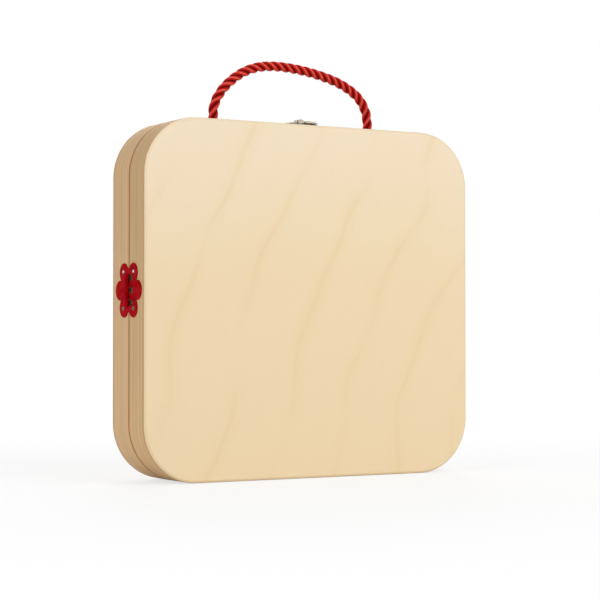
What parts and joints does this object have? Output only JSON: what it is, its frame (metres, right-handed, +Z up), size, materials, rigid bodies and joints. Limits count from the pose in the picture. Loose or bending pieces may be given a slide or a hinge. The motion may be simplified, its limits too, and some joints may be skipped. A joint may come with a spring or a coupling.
{
  "type": "toy tool case",
  "caption": "Flat wooden toy tool case with round corners that opens like a book on a flower hinge, with a toggle latch and a rope handle.",
  "frame": {"origin": "on the resting face, below the middle of the case's width and depth", "axes": "+X across the case away from the hinge, +Y from the front panel to the back panel, +Z up towards the handle"},
  "size_m": [0.3283, 0.064, 0.3649],
  "materials": {
    "birch_face": "bare sanded birch face veneer, satin",
    "ply_edge": "sanded plywood edge with fine layers, matt",
    "hinge_paint": "glossy red paint on stamped sheet steel",
    "bright_steel": "bright zinc-plated steel",
    "nickel": "nickel-plated stamped steel",
    "red_rope": "twisted satin cord with a silky sheen"
  },
  "bodies": {
    "back_shell": {"back_panel": "birch_face", "back_ring_outer": "ply_edge", "back_ring_inner": "ply_edge", "hinge_leaf_back": "hinge_paint", "hinge_nails_back": "bright_steel", "hinge_pin": "hinge_paint", "latch_catch": "nickel", "latch_catch_screws": "bright_steel", "rope_end_left": "red_rope", "rope_end_right": "red_rope", "rope_knot_left": "red_rope", "rope_knot_right": "red_rope"},
    "front_shell": {"front_panel": "birch_face", "front_ring_outer": "ply_edge", "front_ring_inner": "ply_edge", "hinge_leaf_front": "hinge_paint", "hinge_nails_front": "bright_steel", "latch_base": "nickel", "latch_base_screws": "bright_steel", "latch_lever_rivets": "bright_steel"},
    "latch_lever": {"latch_lever": "nickel", "latch_tongue_pin": "bright_steel"},
    "latch_tongue": {"latch_tongue": "nickel"},
    "handle": {"handle_rope": "red_rope"}
  },
  "joints": [
    {"name": "case_open", "type": "hinge", "parent": "back_shell", "child": "front_shell", "pos_m": [-0.1644, -0.002, 0.161], "axis": [0, 0, -1], "range_deg": [0, 180]},
    {"name": "latch_open", "type": "hinge", "parent": "front_shell", "child": "latch_lever", "pos_m": [0, -0.0105, 0.3099], "axis": [-1, 0, 0], "range_deg": [0, 95]},
    {"name": "tongue_lift", "type": "hinge", "parent": "latch_lever", "child": "latch_tongue", "pos_m": [0, -0.0139, 0.309], "axis": [1, 0, 0], "range_deg": [0, 114]},
    {"name": "handle_sway", "type": "hinge", "parent": "back_shell", "child": "handle", "pos_m": [0, 0.006, 0.311], "axis": [1, 0, 0], "range_deg": [-70, 70], "stiffness_Nm_per_rad": 0.03}
  ],
  "couplings": [
    {"joint": "tongue_lift", "follows": "latch_open", "ratio": 1.2}
  ]
}
